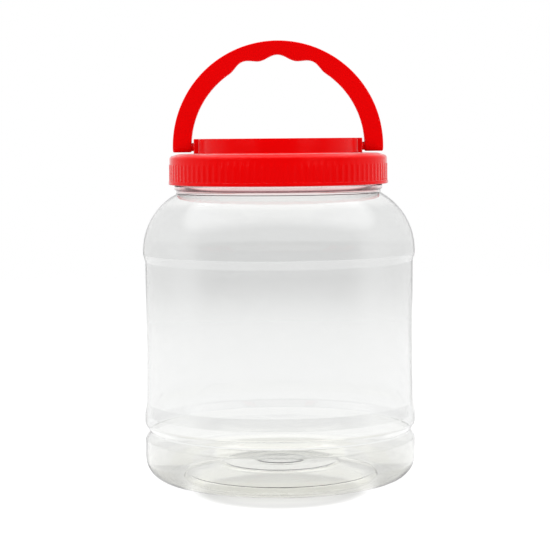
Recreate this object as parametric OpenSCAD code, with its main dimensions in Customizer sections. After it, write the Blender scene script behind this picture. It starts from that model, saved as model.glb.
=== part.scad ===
// Wide-mouth storage jar: a clear blown jar, a ribbed screw lid with a foam liner,
// and a carrying handle that folds flat around the lid's raised centre.
// Millimetres, +Z up, origin on the floor under the middle of the jar.

/* [Jar body] */
// Diameter over the two rings above and below the label panel
body_d = 165; // [150:0.5:185]
// How far the label panel is sunk below the rings
panel_inset = 1.3; // [0.6:0.1:2.5]
// Height of the label panel
panel_h = 85; // [50:1:140]
// Height of the slope from the panel's upper end out to the upper ring
panel_slope_h = 4.5; // [3:0.5:7]
// Height of the longer slope from the panel's lower end out to the lower ring
panel_foot_h = 7; // [4:0.5:12]
// Height of the straight band on the lower ring
ring_h = 6; // [3:0.5:8]
// Height of the straight band on the upper ring, below the shoulder
brim_h = 1.5; // [1:0.5:6]
// How far the foot band is set in from the rings
foot_inset = 0.2; // [0:0.1:1]
// Height of the groove above the floor
groove_z = 29.8; // [26:0.2:36]
// Depth of the groove below the rings
groove_depth = 2.8; // [1.5:0.1:4]
// Half the height of the groove
groove_half_h = 4.6; // [3.5:0.1:6]
// Rounding of the rings and the panel's ends
ring_round = 3; // [1:0.5:4]
// Rounding of the heel
heel_round = 14; // [8:0.5:18]
// Wall thickness of the blown body
wall = 0.8; // [0.5:0.1:1.4]

/* [Jar base] */
// Width of the flat ring that the jar stands on
stand_w = 9.2; // [4:0.2:10]
// Height of the step at the inside of the standing ring
stand_step_h = 2.9; // [2:0.1:4]
// How far the standing ring's inner side leans in over that step
stand_lean = 1.5; // [1:0.1:4]
// Radius of the raised plate in the base
base_plate_r = 36.5; // [28:0.5:42]
// Height of the base just outside that plate
base_cone_z = 7.4; // [5:0.1:9]
// Rise of the step at the edge of the plate
base_plate_step = 1.6; // [0.8:0.1:2.5]
// Radius of the gate boss at the middle of the base
gate_r = 15; // [8:0.5:20]
// Rise of the gate boss above the plate
gate_step = 0.8; // [0.4:0.1:1.5]

/* [Shoulder and neck] */
// Radius of the shoulder
shoulder_round = 40; // [25:1:41]
// Slope of the shoulder where it meets the neck, in degrees
shoulder_slope = 30; // [20:0.5:40]
// Outer diameter of the neck under its thread
neck_d = 124; // [112:0.5:130]
// Wall thickness of the neck
neck_wall = 2; // [1.4:0.1:2.8]
// Height of the neck from the shoulder to the rim
neck_h = 19.6; // [17:0.1:26]
// How far the carrying bead stands out from the neck
bead_out = 1; // [0.6:0.1:1.8]
// Height of the carrying bead
bead_h = 2.7; // [2:0.1:3.5]
// Bare neck between the shoulder and the carrying bead
bead_gap = 2.2; // [1.2:0.1:3]

/* [Lid] */
// Space between the neck and the skirt, which the thread takes up
thread_room = 1.9; // [1.5:0.1:3]
// Thickness of the skirt
skirt_wall = 1.9; // [1.6:0.1:3]
// Thickness of the top
lid_top = 2.5; // [1.8:0.1:3]
// Gap between the skirt's lower edge and the carrying bead
skirt_gap = 0.5; // [0.4:0.1:1.5]
// Number of ribs round the skirt
rib_count = 96; // [48:4:120]
// How far the ribs stand out from the skirt
rib_out = 0.5; // [0.3:0.1:1]
// Width of a rib
rib_w = 2.4; // [2:0.1:2.6]
// Height of the plain lip under the ribs
lip_h = 2.1; // [1.4:0.1:3]
// How far the lip stands out past the ribs
lip_out = 0.1; // [0.1:0.1:0.6]
// Height of the plain band above the ribs
brow_h = 6.2; // [4.5:0.1:9]
// Rounding of the lid's upper edge
brow_round = 2; // [0.8:0.1:2.2]
// How far the ledge falls from the raised centre to the slope at the lid's edge
ledge_fall = 0.3; // [0.1:0.1:0.6]
// Width of the slope at the lid's edge
brow_slope_w = 5.5; // [4:0.1:7]
// How far the lid's edge falls over that slope
brow_slope_h = 1.5; // [0.8:0.1:1.8]
// Diameter of the raised centre
disc_d = 96.8; // [88:0.2:101]
// Height of the raised centre above the ledge
disc_h = 8.8; // [8:0.1:12]
// Thickness of the raised centre
disc_wall = 2; // [1.6:0.1:3]
// Rounding of the raised centre's upper edge
disc_round = 0.6; // [0.4:0.1:1.5]
// How far the pivot lugs stand out from the raised centre
lug_out = 2.6; // [1.6:0.1:3.4]
// Width of a pivot lug
lug_w = 12; // [10:0.5:16]

/* [Liner] */
// Thickness of the foam liner
liner_t = 2; // [1:0.1:3]
// Gap between the liner and the skirt
liner_gap = 0.4; // [0.2:0.1:1]

/* [Handle] */
// Gap between the handle and the pivot lugs
handle_gap = 1.3; // [0.8:0.1:2]
// Height of the pivots above the ledge
pivot_h = 3.9; // [3.6:0.1:4.4]
// Gap under the handle when it is folded flat
fold_gap = 0.7; // [0.4:0.1:1]
// Width of the handle's bar
handle_w = 11.3; // [8:0.1:11.5]
// Rounding of the bar's edges
handle_round = 0.8; // [0.5:0.1:1.5]
// Number of finger scallops
scallop_count = 3; // [1:2:5]
// Depth of a finger scallop
scallop_depth = 2.8; // [1.5:0.1:3.2]
// Radius of a finger scallop
scallop_r = 13; // [10:0.5:16]
// How far the edges of a scallop are eased
scallop_ease = 0.9; // [0.4:0.1:1.4]
// Angle from one finger scallop to the next
scallop_step = 22.6; // [20:0.1:26]
// Diameter of the pivot pins
pin_d = 5; // [4:0.1:5]
// How far the pins reach into the pivot lugs
pin_reach = 5.2; // [4:0.1:7]
// Play between a pin and its bore, on the radius
pin_play = 0.1; // [0.05:0.01:0.1]
// Wall round the pivot bores
boss_wall = 1.6; // [1.2:0.1:1.8]

/* [Hidden] */
$fn = 96;
arc_step = 7;
corner_round = 0.6;
overlap = 0.4;

ring_r = body_d / 2;
panel_r = ring_r - panel_inset;
foot_r = ring_r - foot_inset;
groove_r = ring_r - groove_depth;
neck_r = neck_d / 2;

lower_ring_z = groove_z + groove_half_h;
panel_z = lower_ring_z + ring_h + panel_foot_h;
upper_ring_z = panel_z + panel_h + panel_slope_h;
shoulder_z = upper_ring_z + brim_h;
shoulder_turn = 90 - shoulder_slope;
shoulder_corner_z = shoulder_z + shoulder_round * tan(shoulder_turn / 2);
neck_z = shoulder_corner_z + (ring_r - neck_r) * tan(shoulder_slope);
rim_z = neck_z + neck_h;
bead_z = neck_z + bead_gap;

stand_r = foot_r - heel_round - stand_w;
base_cone_r = stand_r - stand_lean;
base_plate_z = base_cone_z + base_plate_step;
gate_z = base_plate_z + gate_step;

skirt_in_r = neck_r + thread_room;
skirt_r = skirt_in_r + skirt_wall;
rib_crest_r = skirt_r + rib_out;
lip_r = rib_crest_r + lip_out;
skirt_z = bead_z + bead_h + skirt_gap;
liner_z = rim_z;
lid_under_z = liner_z + liner_t;
ledge_z = lid_under_z + lid_top;
brow_z = ledge_z - ledge_fall;
disc_r = disc_d / 2;
lug_r = disc_r + lug_out;
disc_z = ledge_z + disc_h;

pivot_z = ledge_z + pivot_h;
handle_t = 2 * (pivot_h - fold_gap);
handle_in_r = lug_r + handle_gap;
pin_r = pin_d / 2;
bore_r = pin_r + pin_play;
boss_r = bore_r + boss_wall;
pin_tip_x = lug_r - pin_reach;

// A point of an outline is [radius, height, rounding].
function place(p) = [p[0], p[1]];
function unit(v) = v / norm(v);
function left_of(v) = [-v[1], v[0]];
function cross2(u, v) = u[0] * v[1] - u[1] * v[0];

// Where the line from p along u meets the line from q along v
function meet(p, u, q, v) = p + u * cross2(q - p, v) / cross2(u, v);

// Directions of an outline's straight runs
function runs(pts) = [for (i = [1:len(pts) - 1]) unit(place(pts[i]) - place(pts[i - 1]))];

// Half the angle by which the outline turns at point i
function half_turn(d, i) = acos(min(1, d[i - 1] * d[i])) / 2;

// Length that the rounding at point i takes from the runs beside it
function taken(pts, d, i) = i == 0 || i == len(pts) - 1 ? 0 : pts[i][2] * tan(half_turn(d, i));

// Share of that length which run i, from point i to the next, has room for
function room(pts, d, i) =
    let (need = taken(pts, d, i) + taken(pts, d, i + 1))
    need == 0 ? 1 : min(1, norm(place(pts[i + 1]) - place(pts[i])) / need);

// The arc that rounds point i, or the bare point at an end or a sharp corner
function arc_at(pts, d, i) =
    let (cut = i == 0 || i == len(pts) - 1 ? 0
            : taken(pts, d, i) * min(room(pts, d, i - 1), room(pts, d, i)))
    cut < 0.001 ? [place(pts[i])]
    : let (
        half = half_turn(d, i),
        side = sign(cross2(d[i - 1], d[i])),
        radius = cut / tan(half),
        start = place(pts[i]) - cut * d[i - 1],
        centre = start + side * radius * left_of(d[i - 1]),
        from = start - centre,
        n = max(2, ceil(2 * half / arc_step))
    ) [for (k = [0:n])
        let (a = side * 2 * half * k / n)
        centre + [from[0] * cos(a) - from[1] * sin(a), from[0] * sin(a) + from[1] * cos(a)]];

// An outline with its corners rounded
function rounded(pts) = let (d = runs(pts)) [for (i = [0:len(pts) - 1]) each arc_at(pts, d, i)];

// An outline moved to its left, run i by t[i], with its roundings kept concentric
function moved_left(pts, t) =
    let (d = runs(pts), last = len(pts) - 1)
    [for (i = [0:last])
        i == 0 ? concat(place(pts[0]) + t[0] * left_of(d[0]), 0)
        : i == last ? concat(place(pts[last]) + t[last - 1] * left_of(d[last - 1]), 0)
        : let (
            p = place(pts[i]) + t[i - 1] * left_of(d[i - 1]),
            q = place(pts[i]) + t[i] * left_of(d[i]),
            turn = sign(cross2(d[i - 1], d[i]))
        ) concat(meet(p, d[i - 1], q, d[i]), max(0, pts[i][2] - turn * t[i - 1]))];

// Outside of the jar, from the middle of its base to its rim
jar_outline = [
    [0, gate_z, 0],
    [gate_r, gate_z, corner_round],
    [gate_r + gate_step, base_plate_z, corner_round],
    [base_plate_r - base_plate_step, base_plate_z, corner_round],
    [base_plate_r, base_cone_z, corner_round],
    [base_cone_r, stand_step_h, corner_round],
    [stand_r, 0, 2 * corner_round],
    [foot_r, 0, heel_round],
    [foot_r, groove_z - groove_half_h, ring_round],
    [groove_r, groove_z, corner_round],
    [ring_r, lower_ring_z, ring_round],
    [ring_r, lower_ring_z + ring_h, ring_round],
    [panel_r, panel_z, ring_round],
    [panel_r, panel_z + panel_h, ring_round],
    [ring_r, upper_ring_z, ring_round],
    [ring_r, shoulder_corner_z, shoulder_round],
    [neck_r, neck_z, 2 * corner_round],
    [neck_r, rim_z, 0],
];

// The jar's wall is thicker in the neck, which is the last run of the outline.
jar_walls = [for (i = [2:len(jar_outline)]) i < len(jar_outline) ? wall : neck_wall];

module jar_body() {
    inside = rounded(moved_left(jar_outline, jar_walls));
    color([0.90, 0.93, 0.93, 0.4])
    rotate_extrude() {
        polygon(concat(rounded(jar_outline), [for (i = [len(inside) - 1:-1:0]) inside[i]]));
        polygon(rounded([
            [neck_r - overlap, bead_z, 0],
            [neck_r + bead_out, bead_z, corner_round],
            [neck_r + bead_out, bead_z + bead_h, corner_round],
            [neck_r - overlap, bead_z + bead_h, 0],
        ]));
    }
}

// One half of the lid's section: top, skirt and raised centre
module lid_section() {
    polygon(rounded([
        [0, disc_z, 0],
        [disc_r, disc_z, disc_round],
        [disc_r, ledge_z, corner_round],
        [skirt_r - brow_slope_w, brow_z, 2 * brow_round],
        [skirt_r, brow_z - brow_slope_h, brow_round],
        [skirt_r, skirt_z + lip_h, 0],
        [lip_r, skirt_z + lip_h, 0],
        [lip_r, skirt_z, corner_round],
        [skirt_in_r, skirt_z, corner_round],
        [skirt_in_r, lid_under_z, 0],
        [disc_r - disc_wall, lid_under_z, corner_round],
        [disc_r - disc_wall, disc_z - disc_wall, corner_round],
        [0, disc_z - disc_wall, 0],
    ]));
}

// The ribbed band of the skirt
module skirt_ribs() {
    rib_r = rib_w / 2;
    rib_top_z = ledge_z - brow_h;
    translate([0, 0, skirt_z + lip_h])
    linear_extrude(rib_top_z - skirt_z - lip_h)
    difference() {
        union() {
            circle(skirt_r);
            for (i = [0:rib_count - 1])
                rotate(360 * i / rib_count)
                translate([rib_crest_r - rib_r, 0])
                circle(rib_r, $fn = 24);
        }
        circle(skirt_r - overlap);
    }
}

// A lug on each side of the raised centre, level with its top, for the handle to turn in
module pivot_lugs() {
    root_r = disc_r - disc_wall;
    root_z = ledge_z - overlap;
    intersection() {
        rotate_extrude()
        polygon(rounded([
            [root_r, root_z, 0],
            [lug_r, root_z, 0],
            [lug_r, disc_z, disc_round],
            [root_r, disc_z, 0],
        ]));
        translate([-lug_r - overlap, -lug_w / 2, 0])
        cube([2 * (lug_r + overlap), lug_w, disc_z + overlap]);
    }
}

// A rod along X, from x0 to x1, at the height of the pivots
module pivot_rod(x0, x1, r) {
    translate([x0, 0, pivot_z])
    rotate([0, 90, 0])
    cylinder(h = x1 - x0, r = r);
}

module screw_lid() {
    boss_x = pin_tip_x - overlap;
    color([0.85, 0.02, 0.03])
    difference() {
        union() {
            rotate_extrude() lid_section();
            skirt_ribs();
            pivot_lugs();
            for (side = [0, 180])
                rotate(side)
                intersection() {
                    pivot_rod(boss_x, disc_r, boss_r);
                    cylinder(h = disc_z - disc_wall / 2, r = disc_r - disc_wall / 2);
                }
        }
        for (side = [0, 180])
            rotate(side)
            pivot_rod(boss_x - overlap, lug_r + overlap, bore_r);
    }
}

module lid_liner() {
    color([0.95, 0.95, 0.93])
    translate([0, 0, liner_z])
    cylinder(h = liner_t, r = skirt_in_r - liner_gap);
}

// Section of the handle's bar: its inner face at x = 0, its lower face at y = 0
module bar_section(width, thickness) {
    far = width - handle_round;
    high = thickness - handle_round;
    translate([0, handle_round]) square([width, high - handle_round]);
    translate([handle_round, 0]) square([far - handle_round, thickness]);
    for (x = [handle_round, far], y = [handle_round, high])
        translate([x, y]) circle(handle_round);
}

// The bar's end, turned about the pivot so that it clears the ledge as the handle folds
module leg_end() {
    rotate([0, 90, 0])
    rotate([0, 0, -90])
    rotate_extrude(angle = 180)
    translate([0, handle_in_r])
    intersection() {
        translate([-handle_t / 2, handle_w]) rotate(-90) bar_section(handle_w, handle_t);
        square([handle_t, handle_w]);
    }
}

// What a finger scallop takes away, with its edges eased where it runs out of the bar's faces
module scallop() {
    ease_y = handle_t / 2 - scallop_ease;
    flare = scallop_ease + overlap;
    rotate([90, 0, 0]) {
        cylinder(h = 2 * handle_t, r = scallop_r, center = true);
        for (side = [0, 1])
            mirror([0, 0, side])
            translate([0, 0, ease_y])
            cylinder(h = flare, r1 = scallop_r, r2 = scallop_r + flare);
    }
}

module carry_handle() {
    scallop_mid = (scallop_count - 1) / 2;
    scallop_x = handle_in_r + scallop_depth - scallop_r;
    tip_cut = pin_r / 4;
    color([0.85, 0.02, 0.03])
    union() {
        translate([0, 0, pivot_z])
        difference() {
            union() {
                rotate([90, 0, 0])
                rotate_extrude(angle = 180)
                translate([handle_in_r, -handle_t / 2]) bar_section(handle_w, handle_t);
                for (side = [0, 180]) rotate(side) leg_end();
            }
            for (i = [0:scallop_count - 1])
                rotate([0, (i - scallop_mid) * scallop_step, 0])
                translate([0, 0, scallop_x]) scallop();
        }
        for (side = [0, 180])
            rotate(side) {
                pivot_rod(pin_tip_x + tip_cut, handle_in_r + overlap, pin_r);
                translate([pin_tip_x, 0, pivot_z])
                rotate([0, 90, 0])
                cylinder(h = tip_cut, r1 = pin_r - tip_cut, r2 = pin_r);
            }
    }
}

jar_body();
screw_lid();
lid_liner();
carry_handle();
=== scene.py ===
"""A clear wide-mouth storage jar with a red ribbed screw lid and a red folding handle."""

import math

import bmesh
import bpy
import numpy as np
from mathutils import Matrix, Vector


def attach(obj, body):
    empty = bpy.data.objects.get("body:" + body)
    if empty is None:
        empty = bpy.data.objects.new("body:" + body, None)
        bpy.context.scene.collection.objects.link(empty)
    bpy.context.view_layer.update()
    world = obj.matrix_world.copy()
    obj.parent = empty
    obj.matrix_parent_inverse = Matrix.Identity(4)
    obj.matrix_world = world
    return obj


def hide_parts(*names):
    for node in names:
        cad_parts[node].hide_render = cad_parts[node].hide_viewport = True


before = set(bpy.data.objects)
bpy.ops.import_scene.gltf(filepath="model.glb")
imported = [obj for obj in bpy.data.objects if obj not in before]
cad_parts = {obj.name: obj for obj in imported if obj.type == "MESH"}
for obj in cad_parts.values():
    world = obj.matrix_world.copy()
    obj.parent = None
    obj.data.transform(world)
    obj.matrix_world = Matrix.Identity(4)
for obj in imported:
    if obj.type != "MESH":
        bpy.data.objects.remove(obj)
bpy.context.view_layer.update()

MM = 0.001
TURN = 2 * math.pi

# Jar, in millimetres: radii and heights from the floor
RING_R = 82.5
PANEL_R = 81.2
PANEL_WAIST = 0.35  # how far the label panel is drawn in at mid height
FOOT_R = 82.3
GROOVE_R = 79.7
GROOVE_Z = 29.8
GROOVE_HALF = 4.6
LOWER_BAND = 6.0
UPPER_BAND = 1.5
LOWER_SLOPE = 7.0
PANEL_SLOPE = 4.5
PANEL_H = 85.0
HEEL_ROUND = 14.0
RING_ROUND = 3.0
WALL = 0.8
STAND_W = 9.2
STAND_STEP = 2.9
STAND_LEAN = 1.5
PLATE_R = 36.5
PLATE_STEP = 1.6
CONE_Z = 7.4
GATE_R = 15.0
GATE_STEP = 0.8
SHOULDER_ROUND = 40.0
SHOULDER_SLOPE = math.radians(30)
NECK_R = 62.0
NECK_WALL = 2.0
NECK_H = 19.6
BEAD_GAP = 2.2
BEAD_H = 2.7
BEAD_OUT = 1.0

LOWER_RING_Z = GROOVE_Z + GROOVE_HALF
PANEL_Z = LOWER_RING_Z + LOWER_BAND + LOWER_SLOPE
PANEL_TOP = PANEL_Z + PANEL_H
UPPER_RING_Z = PANEL_TOP + PANEL_SLOPE
SHOULDER_Z = UPPER_RING_Z + UPPER_BAND
SHOULDER_CORNER_Z = SHOULDER_Z + SHOULDER_ROUND * math.tan((math.pi / 2 - SHOULDER_SLOPE) / 2)
NECK_Z = SHOULDER_CORNER_Z + (RING_R - NECK_R) * math.tan(SHOULDER_SLOPE)
RIM_Z = NECK_Z + NECK_H
BEAD_Z = NECK_Z + BEAD_GAP
BEAD_TOP = BEAD_Z + BEAD_H
STAND_R = FOOT_R - HEEL_ROUND - STAND_W

# Lid
SKIRT_IN_R = NECK_R + 1.9
SKIRT_R = SKIRT_IN_R + 1.9
SKIRT_Z = BEAD_TOP + 0.5
RIB_OUT = 0.5
RIB_COUNT = 96
RIB_SHARE = 0.80  # how much of its pitch a rib fills
RIB_EASE = 0.5  # how much of its height a worn rib keeps
RIB_END = 0.8  # length over which a rib's top fades out
LIP_H = 2.1
LIP_ROUND = 0.6
LIP_R = SKIRT_R + RIB_OUT + 0.1
LINER_T = 2.0
UNDER_Z = RIM_Z + LINER_T
LEDGE_Z = UNDER_Z + 2.5
BROW_H = 6.2
BROW_ROUND = 2.0
BROW_SLOPE_W = 5.5  # the ledge falls away to the skirt over this width
BROW_SLOPE_H = 1.5
LEDGE_FALL = 0.3
DISC_R = 48.4
DISC_H = 8.8
DISC_Z = LEDGE_Z + DISC_H
DISC_WALL = 2.0
DISC_ROUND = 0.6
LUG_R = DISC_R + 2.6
LUG_HALF = 6.0
LUG_CORNER = 1.2
DIMPLE_R = 3.6  # the moulding gate in the middle of the lid, with a pip in it
DIMPLE_DEPTH = 0.45
PIP_R = 1.1
PIP_DEPTH = 0.15
LINER_R = SKIRT_IN_R - 0.4
PRINT_DEPTH = 0.12  # how deep the jar's rim has pressed into the liner

# Thread
PITCH = 6.0
THREAD_TURNS = 1.5
THREAD_H = 1.3
THREAD_HALF = 1.15
THREAD_Z = SKIRT_Z + 3.4
THREAD_FLANK = 0.75  # width of a ridge's flank, as a share of THREAD_HALF
THREAD_FOOT = 1.35  # half width of a ridge at its foot, as a share of THREAD_HALF
THREAD_FADE = math.radians(22)
THREAD_PLAY = 0.4  # the lid's thread hangs this far from the middle of the jar's

# Mesh, in millimetres and counts
SAME = 1e-6  # lengths that differ by less are the same
WELD = 1e-6  # points nearer than this are one, in metres
CLEAR = 0.02  # keeps faces apart that would lie in one plane
LONGEST_RUN = 6.0
SHORTEST_RUN = 1e-3
NECK_ROW = 0.4
SKIRT_ROW = 0.45
JAR_SIDES = 180
RIB_SIDES = 8
LID_ARC_STEP = math.radians(12)
LID_ARC_RUN = 0.14
LINER_ARC_STEP = math.radians(20)

# Handle
PIVOT_H = 3.9
PIVOT_Z = LEDGE_Z + PIVOT_H
HANDLE_IN_R = LUG_R + 1.3
HANDLE_W = 11.3
HANDLE_T = 2 * (PIVOT_H - 0.7)
HANDLE_ROUND = 0.8
SCALLOP_STEP = math.radians(22.6)
SCALLOP_COUNT = 3
SCALLOP_DEPTH = 2.8
PIN_R = 2.5
PIN_TIP_X = LUG_R - 5.2
PIN_TAPER = 0.55
BORE_R = 2.6
BOSS_R = BORE_R + 1.6


def unit(v):
    return v / np.linalg.norm(v)


def left_of(v):
    return np.array([-v[1], v[0]])


def cross2(u, v):
    return u[0] * v[1] - u[1] * v[0]


def runs(points):
    """Directions of an outline's straight runs."""
    p = np.array([q[:2] for q in points])
    return [unit(b - a) for a, b in zip(p, p[1:])]


def rounded(points, step=math.radians(5), finest=0.01):
    """An outline of [radius, height, rounding] with its corners rounded by arcs, whose runs turn by
    at most step, or are about the finest length."""
    d = runs(points)
    out = [np.array(points[0][:2])]
    for i in range(1, len(points) - 1):
        here, rounding = np.array(points[i][:2]), points[i][2]
        half = math.acos(min(1, float(d[i - 1] @ d[i]))) / 2
        cut = rounding * math.tan(half)
        if cut < 1e-4:
            out.append(here)
            continue
        side = math.copysign(1, cross2(d[i - 1], d[i]))
        start = here - cut * d[i - 1]
        centre = start + side * rounding * left_of(d[i - 1])
        arm = start - centre
        n = max(3, math.ceil(2 * half * min(1 / step, rounding / finest)))
        for k in range(n + 1):
            a = side * 2 * half * k / n
            c, s = math.cos(a), math.sin(a)
            out.append(centre + np.array([arm[0] * c - arm[1] * s, arm[0] * s + arm[1] * c]))
    out.append(np.array(points[-1][:2]))
    return out


def moved_left(points, amounts):
    """An outline moved to its left, each run by its own amount, with its roundings kept concentric."""
    d, last = runs(points), len(points) - 1
    out = []
    for i, q in enumerate(points):
        here = np.array(q[:2])
        if i in (0, last):
            j = 0 if i == 0 else last - 1
            out.append([*(here + amounts[j] * left_of(d[j])), 0])
            continue
        p = here + amounts[i - 1] * left_of(d[i - 1])
        r = here + amounts[i] * left_of(d[i])
        meet = p + d[i - 1] * cross2(r - p, d[i]) / cross2(d[i - 1], d[i])
        turn = math.copysign(1, cross2(d[i - 1], d[i]))
        out.append([*meet, max(0.0, q[2] - turn * amounts[i - 1])])
    return out


def dense(outline, longest):
    """The same outline with no run longer than that."""
    out = [outline[0]]
    for a, b in zip(outline, outline[1:]):
        n = max(1, math.ceil(np.linalg.norm(b - a) / longest))
        out += [a + (b - a) * k / n for k in range(1, n + 1)]
    return out


def mesh_object(name, verts, faces, sharp=math.radians(40)):
    """A smooth-shaded object in the scene, with its sharp edges marked."""
    me = bpy.data.meshes.new(name)
    me.from_pydata([tuple(v) for v in verts], [], faces)
    me.validate()
    me.shade_smooth()
    me.set_sharp_from_angle(angle=sharp)
    obj = bpy.data.objects.new(name, me)
    bpy.context.scene.collection.objects.link(obj)
    return obj


def lathe(name, outline, angles, shift=None, sharp=math.radians(40)):
    """A closed solid turned about Z from an outline that starts and ends on the axis, in millimetres.
    shift(r, z, angles) moves a row's points out from the axis."""
    n = len(angles)
    cos, sin = np.cos(angles), np.sin(angles)
    verts, rows = [], []
    for r, z in outline:
        if r < SAME:
            rows.append([len(verts)])
            verts.append((0, 0, z * MM))
            continue
        reach = np.full(n, r) + (shift(r, z, angles) if shift else 0)
        rows.append(list(range(len(verts), len(verts) + n)))
        verts += [(x * MM, y * MM, z * MM) for x, y in zip(reach * cos, reach * sin)]
    faces = []
    for a, b in zip(rows, rows[1:]):
        for k in range(n):
            j = (k + 1) % n
            if len(a) == 1:
                faces.append((a[0], b[j], b[k]))
            elif len(b) == 1:
                faces.append((a[k], a[j], b[0]))
            else:
                faces.append((a[k], a[j], b[j], b[k]))
    return mesh_object(name, verts, faces, sharp)


def boolean(obj, other, operation):
    """Joins or cuts obj by other, and deletes other."""
    mod = obj.modifiers.new("cut", "BOOLEAN")
    mod.operation, mod.object, mod.solver = operation, other, "EXACT"
    graph = bpy.context.evaluated_depsgraph_get()
    me = bpy.data.meshes.new_from_object(obj.evaluated_get(graph))
    obj.modifiers.clear()
    obj.data = me
    bpy.data.objects.remove(other)


def smooth(obj, sharp=math.radians(40), sliver=2 * WELD):
    """Clears the slivers that joins and cuts leave, and shades the faces smooth."""
    bm = bmesh.new()
    bm.from_mesh(obj.data)
    bmesh.ops.remove_doubles(bm, verts=bm.verts, dist=sliver)
    bmesh.ops.dissolve_degenerate(bm, dist=sliver, edges=bm.edges)
    bm.to_mesh(obj.data)
    bm.free()
    obj.data.shade_smooth()
    obj.data.set_sharp_from_angle(angle=sharp)


def ease(t):
    """A smooth step from 0 to 1."""
    t = np.clip(t, 0, 1)
    return t * t * (3 - 2 * t)


def thread(z, angles, start_z, turns):
    """Height of a helical ridge, from 0 to 1, at height z."""
    out = np.zeros(len(angles))
    whole = turns * TURN
    for k in range(math.ceil(turns) + 1):
        along = np.mod(angles, TURN) + k * TURN
        off = np.abs(z - start_z - PITCH * along / TURN) / THREAD_HALF
        ends = ease(along / THREAD_FADE) * ease((whole - along) / THREAD_FADE)
        ridge = ease((THREAD_FOOT - off) / THREAD_FLANK) * ends
        out = np.maximum(out, np.where(along <= whole, ridge, 0))
    return out


# The jar
body_outline = [
    [0, CONE_Z + PLATE_STEP + GATE_STEP, 0],
    [GATE_R, CONE_Z + PLATE_STEP + GATE_STEP, 1.2],
    [GATE_R + GATE_STEP, CONE_Z + PLATE_STEP, 1.2],
    [PLATE_R - PLATE_STEP, CONE_Z + PLATE_STEP, 2.6],
    [PLATE_R, CONE_Z, 2.6],
    [STAND_R - STAND_LEAN, STAND_STEP, 1.0],
    [STAND_R, 0, 1.0],
    [FOOT_R, 0, HEEL_ROUND],
    [FOOT_R, GROOVE_Z - GROOVE_HALF, RING_ROUND],
    [GROOVE_R, GROOVE_Z, 0.9],
    [RING_R, LOWER_RING_Z, RING_ROUND],
    [RING_R, LOWER_RING_Z + LOWER_BAND, RING_ROUND],
    [PANEL_R, PANEL_Z, RING_ROUND],
    [PANEL_R, PANEL_TOP, RING_ROUND],
    [RING_R, UPPER_RING_Z, RING_ROUND],
    [RING_R, SHOULDER_CORNER_Z, SHOULDER_ROUND],
    [NECK_R, NECK_Z, 0.15],
    [NECK_R, RIM_Z, 0],
]
neck_outline = [
    [NECK_R, BEAD_Z, 0.2],
    [NECK_R + BEAD_OUT, BEAD_Z, 0.5],
    [NECK_R + BEAD_OUT, BEAD_TOP, 0.5],
    [NECK_R, BEAD_TOP, 0.2],
    [NECK_R, RIM_Z, 0.7],
    [NECK_R - NECK_WALL, RIM_Z, 0.7],
    [NECK_R - NECK_WALL, NECK_Z + 2, 0],
]
walls = [WALL] * (len(body_outline) - 2) + [NECK_WALL]
shell = moved_left(body_outline, walls)
shell[-2][2] = 0.3
inside = rounded(shell)
jar_outline = rounded(body_outline[:-1] + neck_outline)[:-1] + inside[-2::-1]
jar_outline = dense(jar_outline, LONGEST_RUN)
jar_outline = jar_outline[:1] + [
    p for a, p in zip(jar_outline, jar_outline[1:]) if np.linalg.norm(p - a) > SHORTEST_RUN]


def thread_rows(outline, radius, low, spacing):
    """The outline with closer rows where a thread runs round it: at that radius, from the low height up."""
    out = []
    for a, b in zip(outline, outline[1:]):
        out.append(a)
        if abs(a[0] - radius) < SAME and abs(b[0] - radius) < SAME and a[1] > low:
            n = math.ceil(abs(b[1] - a[1]) / spacing)
            out += [a + (b - a) * k / n for k in range(1, n)]
    return out + [outline[-1]]


def jar_shift(r, z, angles):
    """The thread on the neck, and the waist of the label panel."""
    shift = np.zeros(len(angles))
    if abs(r - NECK_R) < SAME and z > BEAD_TOP:
        shift += THREAD_H * thread(z, angles, THREAD_Z, THREAD_TURNS)
    if PANEL_Z < z < PANEL_TOP and r > PANEL_R - 2:
        shift -= PANEL_WAIST * math.sin(math.pi * (z - PANEL_Z) / PANEL_H) ** 2
    return shift


around = np.arange(JAR_SIDES) * TURN / JAR_SIDES
jar = lathe("jar", thread_rows(jar_outline, NECK_R, BEAD_TOP, NECK_ROW), around, jar_shift)

# The lid
rib_top = LEDGE_Z - BROW_H
lip_top = SKIRT_Z + LIP_H
lid_outline = rounded([
    [0, DISC_Z - PIP_DEPTH, 0],
    [PIP_R, DISC_Z - PIP_DEPTH, 0.1],
    [PIP_R + 0.3, DISC_Z - DIMPLE_DEPTH, 0.1],
    [DIMPLE_R, DISC_Z - DIMPLE_DEPTH, 0.3],
    [DIMPLE_R + 0.8, DISC_Z, 0.3],
    [DISC_R, DISC_Z, 0.3],
    [DISC_R, LEDGE_Z, 0.7],
    [SKIRT_R - BROW_SLOPE_W, LEDGE_Z - LEDGE_FALL, 2 * BROW_ROUND],
    [SKIRT_R, LEDGE_Z - LEDGE_FALL - BROW_SLOPE_H, BROW_ROUND],
    [SKIRT_R, rib_top, 0],
    [SKIRT_R, rib_top - 0.35, 0],
    [SKIRT_R, rib_top - RIB_END, 0],
    [SKIRT_R, (rib_top + lip_top) / 2, 0],
    [SKIRT_R, lip_top, 0],
    [LIP_R, lip_top, 0.35],
    [LIP_R, SKIRT_Z, LIP_ROUND],
    [SKIRT_IN_R, SKIRT_Z, LIP_ROUND],
    [SKIRT_IN_R, UNDER_Z, 0.5],
    [DISC_R - DISC_WALL, UNDER_Z, 0.6],
    [DISC_R - DISC_WALL, DISC_Z - DISC_WALL, 0.8],
    [0, DISC_Z - DISC_WALL, 0],
], LID_ARC_STEP, LID_ARC_RUN)


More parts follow.
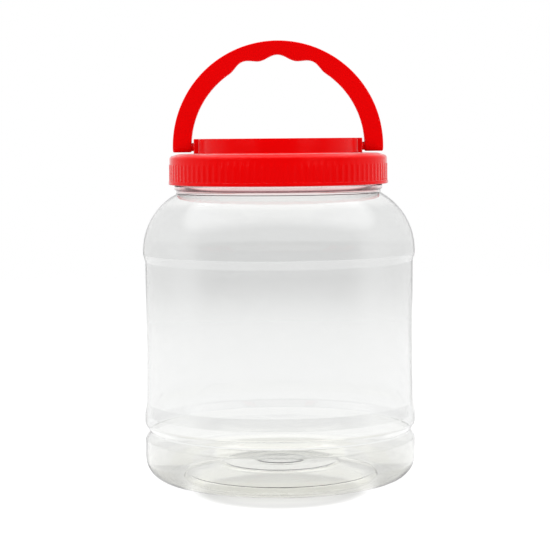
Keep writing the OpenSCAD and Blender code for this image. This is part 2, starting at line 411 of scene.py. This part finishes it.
def lid_shift(r, z, angles):
    """The ribs on the skirt, and the thread inside it."""
    shift = np.zeros(len(angles))
    if abs(r - SKIRT_R) < SAME and lip_top - SAME <= z <= rib_top + SAME:
        phase = np.mod(angles * RIB_COUNT / TURN + 0.5, 1) - 0.5
        rib = 0.5 + 0.5 * np.cos(TURN * np.clip(phase / RIB_SHARE, -0.5, 0.5))
        shift += RIB_EASE * RIB_OUT * rib * math.sqrt(min(1.0, (rib_top - z) / RIB_END))
    if abs(r - SKIRT_IN_R) < SAME and SKIRT_Z + LIP_ROUND < z < UNDER_Z - 1:
        shift -= THREAD_H * thread(z, angles, THREAD_Z - PITCH / 2 + THREAD_PLAY, THREAD_TURNS)
    return shift


rib_angles = np.arange(RIB_COUNT * RIB_SIDES) * TURN / (RIB_COUNT * RIB_SIDES)
lid = lathe("lid", thread_rows(lid_outline, SKIRT_IN_R, SKIRT_Z, SKIRT_ROW)[::-1], rib_angles, lid_shift)


def rod(name, x0, x1, r, tip=0.0, sides=48):
    """A rod along X at the pivots' height, with its x0 end cut back by tip, in millimetres."""
    rings = [(x0, r - tip), (x0 + tip, r), (x1, r)] if tip else [(x0, r), (x1, r)]
    verts, faces = [], []
    for x, radius in rings:
        for k in range(sides):
            a = TURN * k / sides
            verts.append((x * MM, radius * math.cos(a) * MM, (PIVOT_Z + radius * math.sin(a)) * MM))
    for i in range(len(rings) - 1):
        for k in range(sides):
            j = (k + 1) % sides
            faces.append((i * sides + k, i * sides + j, (i + 1) * sides + j, (i + 1) * sides + k))
    last = (len(rings) - 1) * sides
    faces += [tuple(range(sides - 1, -1, -1)), tuple(range(last, last + sides))]
    obj = mesh_object(name, verts, faces)
    bm = bmesh.new()
    bm.from_mesh(obj.data)
    bmesh.ops.recalc_face_normals(bm, faces=bm.faces)
    bm.to_mesh(obj.data)
    bm.free()
    return obj


def arc(centre, radius, start, end, steps):
    """Points of an arc, both ends included."""
    angles = [start + (end - start) * k / steps for k in range(steps + 1)]
    return [centre + radius * np.array([math.cos(a), math.sin(a)]) for a in angles]


def lug(side):
    """The lug at one end of the pivots' axis: a curved end, rounded corners and a rounded top edge."""
    swing = math.asin((LUG_HALF - LUG_CORNER) / (LUG_R - LUG_CORNER))
    corner_at = (LUG_R - LUG_CORNER) * np.array([math.cos(swing), math.sin(swing)])
    root_x = DISC_R - DISC_WALL * 0.6
    plan = [np.array([root_x, -LUG_HALF])]
    plan += arc(corner_at * (1, -1), LUG_CORNER, -math.pi / 2, -swing, 8)
    plan += arc(np.zeros(2), LUG_R, -swing, swing, 12)[1:-1]
    plan += arc(corner_at, LUG_CORNER, swing, math.pi / 2, 8)
    plan.append(np.array([root_x, LUG_HALF]))
    n = len(plan)
    out = [-left_of(unit(b - a)) for a, b in zip(plan, plan[2:])]
    out = [np.zeros(2), *out, np.zeros(2)]
    top = DISC_Z - CLEAR
    levels = [(LEDGE_Z - 0.5, 0)] + [
        (top - DISC_ROUND * (1 - math.sin(a)), DISC_ROUND * (1 - math.cos(a)))
        for a in (math.pi / 2 * k / 5 for k in range(6))]
    verts, faces = [], []
    for z, inset in levels:
        for q, away in zip(plan, out):
            x, y = q - inset * away
            verts.append((side * x * MM, side * y * MM, z * MM))
    for i in range(len(levels) - 1):
        for k in range(n):
            j = (k + 1) % n
            faces.append((i * n + k, i * n + j, (i + 1) * n + j, (i + 1) * n + k))
    last = (len(levels) - 1) * n
    faces += [tuple(range(n - 1, -1, -1)), tuple(range(last, last + n))]
    return mesh_object("lug", verts, faces)


for side in (-1, 1):
    boolean(lid, lug(side), "UNION")
    reach = sorted((side * (PIN_TIP_X - 0.4), side * (DISC_R - 0.8)))
    boolean(lid, rod("boss", *reach, BOSS_R), "UNION")
for side in (-1, 1):
    reach = sorted((side * (PIN_TIP_X - 0.8), side * (LUG_R + 0.4)))
    boolean(lid, rod("bore", *reach, BORE_R), "DIFFERENCE")
smooth(lid)

# The liner: a foam disc with the rim's print in its under side
liner = lathe("liner", rounded([
    [0, RIM_Z + PRINT_DEPTH, 0],
    [NECK_R - NECK_WALL - 0.8, RIM_Z + PRINT_DEPTH, 0.3],
    [NECK_R - NECK_WALL - 0.4, RIM_Z + CLEAR, 0.3],
    [LINER_R, RIM_Z + CLEAR, 0.4],
    [LINER_R, UNDER_Z - CLEAR, 0.4],
    [0, UNDER_Z - CLEAR, 0],
], LINER_ARC_STEP), around)


# The handle: the bar's section swept round the pivot axis, with a turned end on each leg
def bar_ring(inner, outer, half, rounding, corner_steps=6, side_steps=4):
    """The bar's section, as points (r, y) anticlockwise."""
    out = []
    corners = [(outer, -1, -90), (outer, 1, 0), (inner, 1, 90), (inner, -1, 180)]
    for r, s, start in corners:
        cr = r - rounding if r == outer else r + rounding
        cy = s * (half - rounding)
        for k in range(corner_steps + 1):
            a = math.radians(start + 90 * k / corner_steps)
            out.append((cr + rounding * math.cos(a), cy + rounding * math.sin(a)))
    dense_out = []
    for (r0, y0), (r1, y1) in zip(out, out[1:] + out[:1]):
        dense_out.append((r0, y0))
        if math.hypot(r1 - r0, y1 - y0) > 2:
            dense_out += [(r0 + (r1 - r0) * k / side_steps, y0 + (y1 - y0) * k / side_steps)
                          for k in range(1, side_steps)]
    return dense_out


def inner_edge(angle):
    """Radius of the bar's inner edge at an angle from the top."""
    reach = SCALLOP_STEP * SCALLOP_COUNT / 2
    if abs(angle) >= reach:
        return HANDLE_IN_R
    return HANDLE_IN_R + SCALLOP_DEPTH * (1 + math.cos(TURN * angle / SCALLOP_STEP)) / 2


def make_handle():
    """The bar and its turned ends as one closed mesh, without the pins."""
    half, outer = HANDLE_T / 2, HANDLE_IN_R + HANDLE_W
    verts, rings = [], []
    cap_steps = 12
    for k in range(cap_steps, 0, -1):
        rings.append(("cap", -1, math.pi / 2 * k / cap_steps))
    sweep = 240
    for k in range(sweep + 1):
        rings.append(("bar", 0, math.pi * (k / sweep - 0.5)))
    for k in range(1, cap_steps + 1):
        rings.append(("cap", 1, math.pi / 2 * k / cap_steps))
    for kind, side, a in rings:
        if kind == "bar":
            for r, y in bar_ring(inner_edge(a), outer, half, HANDLE_ROUND):
                verts.append((r * math.sin(a), y, PIVOT_Z + r * math.cos(a)))
        else:
            for r, y in bar_ring(HANDLE_IN_R, outer, half, HANDLE_ROUND):
                verts.append((side * r, y * math.cos(a), PIVOT_Z - abs(y) * math.sin(a)))
    n = len(verts) // len(rings)
    faces = []
    for i in range(len(rings) - 1):
        for k in range(n):
            j = (k + 1) % n
            faces.append((i * n + k, i * n + j, (i + 1) * n + j, (i + 1) * n + k))
    me = bpy.data.meshes.new("handle")
    bm = bmesh.new()
    points = [bm.verts.new((x * MM, y * MM, z * MM)) for x, y, z in verts]
    for f in faces:
        bm.faces.new([points[i] for i in f])
    bmesh.ops.remove_doubles(bm, verts=bm.verts, dist=WELD)
    bmesh.ops.dissolve_degenerate(bm, dist=WELD, edges=bm.edges)
    bmesh.ops.recalc_face_normals(bm, faces=bm.faces)
    bm.to_mesh(me)
    bm.free()
    obj = bpy.data.objects.new("handle", me)
    bpy.context.scene.collection.objects.link(obj)
    return obj


handle = make_handle()
for side in (-1, 1):
    pin = rod("pin", PIN_TIP_X, HANDLE_IN_R + 1.0, PIN_R, tip=PIN_TAPER)
    if side < 0:
        pin.data.transform(Matrix.Rotation(math.pi, 4, "Z"))
    boolean(handle, pin, "UNION")
smooth(handle, math.radians(35))


# Materials
def material(name):
    mat = bpy.data.materials.new(name)
    mat.use_nodes = True
    tree = mat.node_tree
    return mat, tree, tree.nodes["Principled BSDF"]


def add(tree, kind, **values):
    """A new node, with its inputs and settings given by name."""
    node = tree.nodes.new(kind)
    for key, value in values.items():
        if key in node.inputs:
            node.inputs[key].default_value = value
        else:
            setattr(node, key, value)
    return node


def noise(tree, scale, detail=2.0, stretch=(1, 1, 1)):
    coords = add(tree, "ShaderNodeTexCoord")
    fit = add(tree, "ShaderNodeMapping", Scale=stretch)
    tex = add(tree, "ShaderNodeTexNoise", Scale=scale, Detail=detail)
    tree.links.new(coords.outputs["Object"], fit.inputs["Vector"])
    tree.links.new(fit.outputs["Vector"], tex.inputs["Vector"])
    return tex


def bump(tree, shader, tex, strength, distance):
    node = add(tree, "ShaderNodeBump", Strength=strength, Distance=distance)
    tree.links.new(tex.outputs["Fac"], node.inputs["Height"])
    tree.links.new(node.outputs["Normal"], shader.inputs["Normal"])
    return node


def varied(tree, tex, socket, low, high):
    """Drives a socket from low to high by a noise texture."""
    fit = add(tree, "ShaderNodeMapRange")
    fit.inputs["From Min"].default_value = 0.3
    fit.inputs["From Max"].default_value = 0.7
    fit.inputs["To Min"].default_value = low
    fit.inputs["To Max"].default_value = high
    tree.links.new(tex.outputs["Fac"], fit.inputs["Value"])
    tree.links.new(fit.outputs["Result"], socket)


def stops(node, levels):
    """Sets a colour ramp's stops, given as (place, colour) from 0 to 1."""
    ramp = node.color_ramp
    for place, colour in levels:
        if place in (0.0, 1.0):
            stop = ramp.elements[0 if place == 0.0 else -1]
        else:
            stop = ramp.elements.new(place)
        stop.position = place
        stop.color = colour


def clear_pet():
    mat, tree, shader = material("clear_pet")
    # A little warmer in the thick base, with a lighter band near the base plate. Lightened on the shoulder
    # under the neck, a painted highlight against the lid's reflected shade; at the bead, painted pink and
    # deep red stand for the red lid's reflection.
    coords = add(tree, "ShaderNodeTexCoord")
    height = add(tree, "ShaderNodeSeparateXYZ")
    tree.links.new(coords.outputs["Object"], height.inputs["Vector"])
    span = add(tree, "ShaderNodeMapRange")
    span.inputs["From Max"].default_value = RIM_Z * MM
    tree.links.new(height.outputs["Z"], span.inputs["Value"])
    tints_and_painted_reflection = add(tree, "ShaderNodeValToRGB")
    warm, warm_light, foot = (0.95, 0.95, 0.92, 1), (0.985, 0.985, 0.958, 1), (0.92, 0.922, 0.908, 1)
    plain, light = (0.906, 0.91, 0.907, 1), (1, 1, 0.995, 1)
    painted_lid_pink, painted_lid_red = (1, 0.82, 0.82, 1), (0.30, 0.03, 0.05, 1)
    tint_at = (
        (0, warm), (7.6, warm), (8.8, warm_light), (10.8, warm_light), (12, foot), (26, plain), (165, plain),
        # From here up: a painted highlight under the neck, then painted pink and deep red reflection of the
        # red lid at the bead
        (NECK_Z - 5, light), (NECK_Z + 0.3, light), (NECK_Z + 1.2, painted_lid_pink),
        (BEAD_Z - 0.5, painted_lid_pink), (BEAD_Z - 0.3, painted_lid_red), (BEAD_Z + 0.6, painted_lid_red), (BEAD_Z + 0.9, painted_lid_pink),
        (BEAD_TOP + 0.4, painted_lid_pink), (BEAD_TOP + 2.0, light), (RIM_Z, light),
    )
    stops(tints_and_painted_reflection, [(z / RIM_Z, tint) for z, tint in tint_at])
    tree.links.new(span.outputs["Result"], tints_and_painted_reflection.inputs["Fac"])
    tree.links.new(tints_and_painted_reflection.outputs["Color"], shader.inputs["Base Color"])
    shader.inputs["Transmission Weight"].default_value = 1.0
    shader.inputs["IOR"].default_value = 1.57
    shader.inputs["Roughness"].default_value = 0.02
    bump(tree, shader, noise(tree, 26.0, 1.5, (1, 1, 0.45)), 0.12, 0.002)
    return mat


def red_plastic():
    mat, tree, shader = material("red_polypropylene")
    tint = add(tree, "ShaderNodeMix", data_type="RGBA")
    tint.inputs[6].default_value = (0.80, 0.0008, 0.0012, 1)
    tint.inputs[7].default_value = (0.72, 0.0006, 0.0010, 1)
    flow = noise(tree, 14.0, 3.0)
    tree.links.new(flow.outputs["Fac"], tint.inputs["Factor"])
    tree.links.new(tint.outputs[2], shader.inputs["Base Color"])
    varied(tree, noise(tree, 60.0, 3.0), shader.inputs["Roughness"], 0.20, 0.28)
    shader.inputs["Specular IOR Level"].default_value = 0.08
    shader.inputs["Coat Weight"].default_value = 0.05
    shader.inputs["Coat Roughness"].default_value = 0.12
    shader.inputs["Sheen Weight"].default_value = 1.0
    shader.inputs["Sheen Roughness"].default_value = 0.2
    bump(tree, shader, noise(tree, 900.0, 2.0), 0.05, 0.0004)
    return mat


def foam():
    mat, tree, shader = material("liner_foam")
    shader.inputs["Base Color"].default_value = (0.88, 0.88, 0.86, 1)
    varied(tree, noise(tree, 300.0, 2.0), shader.inputs["Roughness"], 0.55, 0.75)
    cells = add(tree, "ShaderNodeTexVoronoi", Scale=900.0)
    coords = add(tree, "ShaderNodeTexCoord")
    tree.links.new(coords.outputs["Object"], cells.inputs["Vector"])
    node = add(tree, "ShaderNodeBump", Strength=0.35, Distance=0.0006)
    tree.links.new(cells.outputs["Distance"], node.inputs["Height"])
    tree.links.new(node.outputs["Normal"], shader.inputs["Normal"])
    return mat


pet, red, white = clear_pet(), red_plastic(), foam()
for piece, mat, body, slot, node in (
    (jar, pet, "jar", "clear_pet", "jar_body"),
    (lid, red, "lid", "red_polypropylene", "screw_lid"),
    (liner, white, "liner", "liner_foam", "lid_liner"),
    (handle, red, "handle", "red_polypropylene", "carry_handle"),
):
    piece.data.materials.clear()
    piece.data.materials.append(mat)
    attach(piece, body)
    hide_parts(node)


# Floor, light and camera

# The floor's glow, with painted shadows and painted light round the jar, in metres. Each patch is a box on
# the floor, mirrored in x:
# (x from, x to, y from, y to), with levels round it as (distance, brightness, share of blue).
# A patch that isn't bare shows only through the clear plastic.
SHADE_REACH = 0.2
SHADES = (
    # Painted light under the base, ringed by a painted shadow
    (False, (0.0, 0.0, 0.0, 0.06),
     ((0.0, 1.0, 0.97), (0.050, 0.98, 0.97), (0.059, 0.80, 0.97), (0.069, 0.80, 0.97), (0.077, 1.0, 1),
      (SHADE_REACH, 0.915, 1))),
    # Painted contact shadow in front of the heel
    (True, (0.0, 0.0, -0.050, -0.045),
     ((0.0, 0.79, 0.97), (0.030, 0.75, 0.97), (0.042, 0.69, 0.98), (0.056, 1.1, 1), (SHADE_REACH, 1.1, 1))),
    # Painted shadow behind each side of the foot
    (False, (0.058, 0.078, 0.03, 0.11),
     ((0.0, 0.82, 1), (0.0125, 0.82, 1), (0.019, 1.1, 1), (SHADE_REACH, 1.1, 1))),
    # Painted shade beside the heel
    (False, (0.064, 0.082, -0.042, 0.022),
     ((0.0, 0.55, 1), (0.004, 0.55, 1), (0.020, 1.1, 1), (SHADE_REACH, 1.1, 1))),
)


def vector_math(tree, operation, one, other):
    node = add(tree, "ShaderNodeVectorMath", operation=operation)
    tree.links.new(one, node.inputs[0])
    tree.links.new(other, node.inputs[1])
    return node.outputs["Vector"]


def floor():
    """A pale, softly lit table top that also glows, with painted shadows and painted light in its glow near
    the jar, and fades out round the jar.
    """
    sides, reach = 96, 1.7
    verts = [(0, 0, 0)]
    for k in range(sides):
        verts.append((reach * math.cos(TURN * k / sides), reach * math.sin(TURN * k / sides), 0))
    faces = [(0, k + 1, (k + 1) % sides + 1) for k in range(sides)]
    obj = mesh_object("floor", verts, faces)
    mat, tree, shader = material("floor")
    shader.inputs["Base Color"].default_value = (0.12, 0.12, 0.12, 1)
    shader.inputs["Emission Strength"].default_value = 1.0
    shader.inputs["Roughness"].default_value = 0.8
    shader.inputs["Specular IOR Level"].default_value = 0.1
    coords = add(tree, "ShaderNodeTexCoord")
    far = add(tree, "ShaderNodeVectorMath", operation="LENGTH")
    tree.links.new(coords.outputs["Object"], far.inputs[0])
    fade = add(tree, "ShaderNodeMapRange", interpolation_type="SMOOTHSTEP")
    for key, value in (("From Min", 0.45), ("From Max", 1.65), ("To Min", 1.0), ("To Max", 0.0)):
        fade.inputs[key].default_value = value
    tree.links.new(far.outputs["Value"], fade.inputs["Value"])
    tree.links.new(fade.outputs["Result"], shader.inputs["Alpha"])
    path = add(tree, "ShaderNodeLightPath")
    place = add(tree, "ShaderNodeSeparateXYZ")
    tree.links.new(coords.outputs["Object"], place.inputs["Vector"])
    aside = add(tree, "ShaderNodeMath", operation="ABSOLUTE")
    tree.links.new(place.outputs["X"], aside.inputs[0])
    folded = add(tree, "ShaderNodeCombineXYZ")
    tree.links.new(aside.outputs["Value"], folded.inputs["X"])
    tree.links.new(place.outputs["Y"], folded.inputs["Y"])
    glow = None
    for bare, (inner, outer, near, end), levels in SHADES:
        along = add(tree, "ShaderNodeClamp", Min=near, Max=end)
        tree.links.new(place.outputs["Y"], along.inputs["Value"])
        across = add(tree, "ShaderNodeClamp", Min=inner, Max=outer)
        tree.links.new(aside.outputs["Value"], across.inputs["Value"])
        spine = add(tree, "ShaderNodeCombineXYZ")
        tree.links.new(across.outputs["Result"], spine.inputs["X"])
        tree.links.new(along.outputs["Result"], spine.inputs["Y"])
        away = add(tree, "ShaderNodeVectorMath", operation="DISTANCE")
        tree.links.new(folded.outputs["Vector"], away.inputs[0])
        tree.links.new(spine.outputs["Vector"], away.inputs[1])
        under = add(tree, "ShaderNodeMapRange")
        under.inputs["From Max"].default_value = SHADE_REACH
        tree.links.new(away.outputs["Value"], under.inputs["Value"])
        # The patch's painted shadow and light, as a glow colour by distance
        painted_shade_ramp = add(tree, "ShaderNodeValToRGB")
        painted_shade_ramp.color_ramp.interpolation = "EASE"
        stops(painted_shade_ramp, [(at / SHADE_REACH, (level, level, level * tint, 1)) for at, level, tint in levels])
        tree.links.new(under.outputs["Result"], painted_shade_ramp.inputs["Fac"])
        shade = painted_shade_ramp.outputs["Color"]
        if not bare:
            shade = vector_math(tree, "MAXIMUM", shade, path.outputs["Is Camera Ray"])
        glow = vector_math(tree, "MINIMUM", glow, shade) if glow else shade
    tree.links.new(glow, shader.inputs["Emission Color"])
    obj.data.materials.append(mat)
    return obj


floor()


def softbox(name, place, aim, size, watts):
    """A large soft light that leaves no mirror image of itself."""
    light = bpy.data.lights.new(name, "AREA")
    light.shape, light.size, light.size_y, light.energy = "RECTANGLE", size[0], size[1], watts
    obj = bpy.data.objects.new(name, light)
    obj.location = place
    obj.rotation_euler = (Vector(aim) - Vector(place)).to_track_quat("-Z", "Y").to_euler()
    obj.visible_camera = False
    obj.visible_glossy = False
    obj.visible_transmission = False
    bpy.context.scene.collection.objects.link(obj)
    return obj


softbox("ceiling", (0, 0, 1.25), (0, 0, 0), (1.4, 1.4), 3.6)
softbox("fill_left", (-0.95, -0.95, 0.6), (0, 0, 0.18), (0.8, 0.6), 7.2)
softbox("fill_right", (0.95, -0.95, 0.6), (0, 0, 0.18), (0.8, 0.6), 7.2)

world = bpy.data.worlds.new("studio")
bpy.context.scene.world = world
world.use_nodes = True
tree = world.node_tree
tree.nodes["Background"].inputs["Color"].default_value = (1, 1, 1, 1)
coords = add(tree, "ShaderNodeTexCoord")
# Bright behind the jar and at its sides, and dark on the photographer's side. The axis is half a unit
# long, so that its dot product plus a half runs from 0 behind to 1 in front.
front = add(tree, "ShaderNodeVectorMath", operation="DOT_PRODUCT")
front.inputs[1].default_value = (0, -0.4935, 0.08)
tree.links.new(coords.outputs["Generated"], front.inputs[0])
shifted = add(tree, "ShaderNodeMath", operation="ADD")
shifted.inputs[1].default_value = 0.5
tree.links.new(front.outputs["Value"], shifted.inputs[0])
round_about = add(tree, "ShaderNodeValToRGB")
round_about.color_ramp.interpolation = "EASE"
behind_to_front = (
    (0.0, 0.95), (0.04, 0.95), (0.13, 0.82), (0.30, 0.76), (0.52, 0.76),
    (0.61, 0.54), (0.69, 0.22), (0.79, 0.10), (1.0, 0.08),
)
stops(round_about, [(place, (level, level, level, 1)) for place, level in behind_to_front])
tree.links.new(shifted.outputs["Value"], round_about.inputs["Fac"])


def lobe(axis, low, high, level):
    """Light that grows from 0 to its level as a direction turns to the axis."""
    toward = add(tree, "ShaderNodeVectorMath", operation="DOT_PRODUCT")
    toward.inputs[1].default_value = axis
    tree.links.new(coords.outputs["Generated"], toward.inputs[0])
    grow = add(tree, "ShaderNodeMapRange", interpolation_type="SMOOTHSTEP")
    for key, value in (("From Min", low), ("From Max", high), ("To Min", 0.0), ("To Max", level)):
        grow.inputs[key].default_value = value
    tree.links.new(toward.outputs["Value"], grow.inputs["Value"])
    return grow.outputs["Result"]


def combined(operation, *values):
    """The values joined by one operation, from left to right."""
    out = values[0]
    for value in values[1:]:
        node = add(tree, "ShaderNodeMath", operation=operation)
        tree.links.new(out, node.inputs[0])
        tree.links.new(value, node.inputs[1])
        out = node.outputs["Value"]
    return out


# A wide soft light above and behind
overhead = combined("MULTIPLY", lobe((0, 0.642, 0.767), 0.08, 0.55, 1.65), lobe((0, -0.4, 1), 0.2, 0.6, 1))
fall = combined("MAXIMUM", round_about.outputs["Color"], overhead)
path = add(tree, "ShaderNodeLightPath")
seen = add(tree, "ShaderNodeMath", operation="MAXIMUM")
tree.links.new(path.outputs["Is Camera Ray"], seen.inputs[0])
tree.links.new(fall, seen.inputs[1])
tree.links.new(seen.outputs["Value"], tree.nodes["Background"].inputs["Strength"])

# The camera, as fitted to the photograph
CAMERA_BACK = 1.0577
CAMERA_UP = 0.2063
PITCH_DOWN = math.radians(4.489)
YAW = math.radians(0.134)
ROLL = math.radians(0.486)
FOCAL_PX = 1742.5
FRAME_PX = 550
SENSOR = 36.0

ahead = Vector((
    -math.sin(YAW) * math.cos(PITCH_DOWN), math.cos(YAW) * math.cos(PITCH_DOWN), -math.sin(PITCH_DOWN)))
level = Vector((math.cos(YAW), math.sin(YAW), 0))
above = level.cross(ahead)
right = math.cos(ROLL) * level - math.sin(ROLL) * above
up = math.cos(ROLL) * above + math.sin(ROLL) * level
camera = bpy.data.objects.new("camera", bpy.data.cameras.new("camera"))
camera.data.sensor_width = SENSOR
camera.data.lens = SENSOR * FOCAL_PX / FRAME_PX
pose = Matrix((right, up, -ahead)).transposed().to_4x4()
pose.translation = (0, -CAMERA_BACK, CAMERA_UP)
camera.matrix_world = pose
bpy.context.scene.collection.objects.link(camera)
bpy.context.scene.camera = camera
bpy.context.scene.view_settings.view_transform = "Standard"
